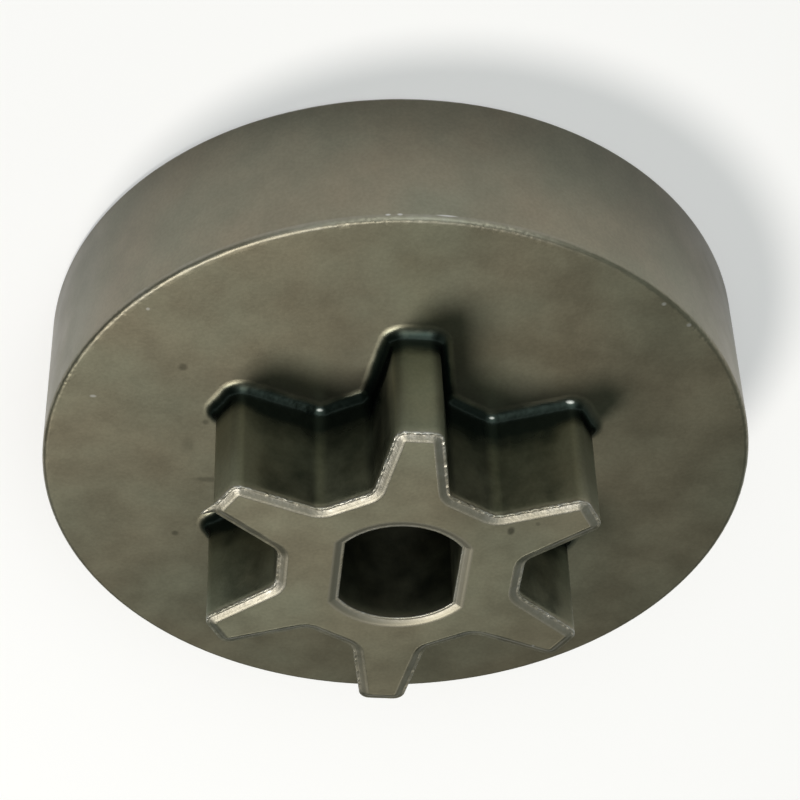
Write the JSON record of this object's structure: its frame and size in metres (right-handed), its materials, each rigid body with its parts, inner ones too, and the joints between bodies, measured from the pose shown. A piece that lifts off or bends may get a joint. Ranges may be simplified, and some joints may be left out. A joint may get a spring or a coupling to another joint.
{
  "type": "chainsaw sprocket",
  "caption": "Chainsaw drive sprocket in one piece: a star-toothed pinion standing on a thick plain drum, with a flatted through bore for the output shaft.",
  "frame": {"origin": "on the bore's axis, at the drum's flat back face, on which it rests", "axes": "+Z along the bore towards the pinion; a tooth lies on +Y; the bore's flats face along X"},
  "size_m": [0.0502, 0.0502, 0.0212],
  "materials": {
    "sintered_steel": "oiled sintered steel, satin, dark olive brown-grey with bare bright edges"
  },
  "bodies": {
    "root": {"sprocket": "sintered_steel"}
  },
  "joints": []
}
